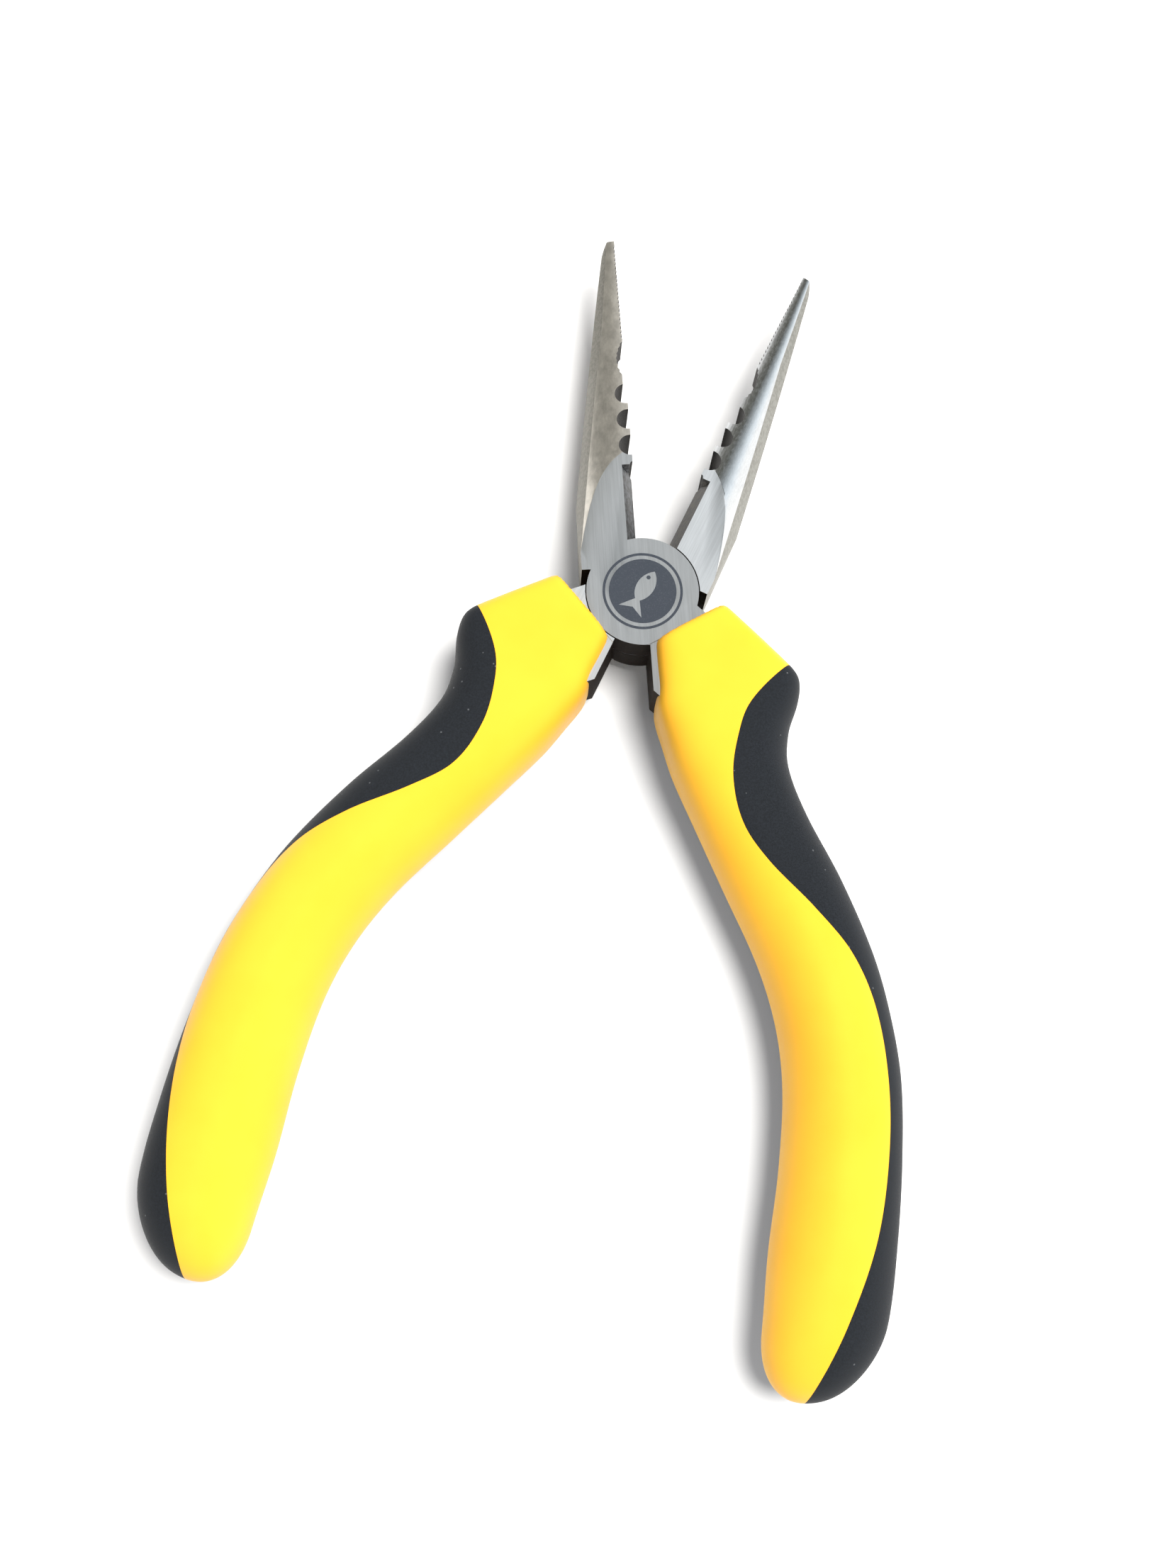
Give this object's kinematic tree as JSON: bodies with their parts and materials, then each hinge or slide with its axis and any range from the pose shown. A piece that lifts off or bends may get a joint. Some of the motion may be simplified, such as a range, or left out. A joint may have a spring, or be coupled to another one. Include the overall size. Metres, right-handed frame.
{
  "type": "fishing pliers",
  "caption": "Long-nose fishing pliers with lap joint, side cutter, crimping notches and two-colour moulded grips.",
  "frame": {"origin": "pivot axis at the rear face of the joint", "axes": "+Y from the pivot between the open jaws, +Z along the pivot axis from the rear face to the front face, +X to the right as seen from the front"},
  "size_m": [0.0942, 0.1497, 0.0146],
  "materials": {
    "front_lever_steel": "ground flats, satin nose, dark oxide in the recesses",
    "rear_lever_steel": "ground flats, polished nose, dark oxide in the recesses",
    "rivet_steel": "ground flush with the joint faces",
    "front_sleeve_plastic": "satin yellow moulding",
    "front_inlay_rubber": "matt dark grey soft inlay",
    "rear_sleeve_plastic": "satin yellow moulding",
    "rear_inlay_rubber": "matt dark grey soft inlay"
  },
  "bodies": {
    "rear_half": {"rear_lever": "rear_lever_steel", "rear_grip_sleeve": "rear_sleeve_plastic", "rear_grip_inlay": "rear_inlay_rubber"},
    "front_half": {"front_lever": "front_lever_steel", "pivot_rivet": "rivet_steel", "front_grip_sleeve": "front_sleeve_plastic", "front_grip_inlay": "front_inlay_rubber"}
  },
  "joints": [
    {"name": "pivot", "type": "hinge", "parent": "rear_half", "child": "front_half", "pos_m": [0, 0, 0.0046], "axis": [0, 0, 1], "range_deg": [-29.2, 15.8]}
  ]
}
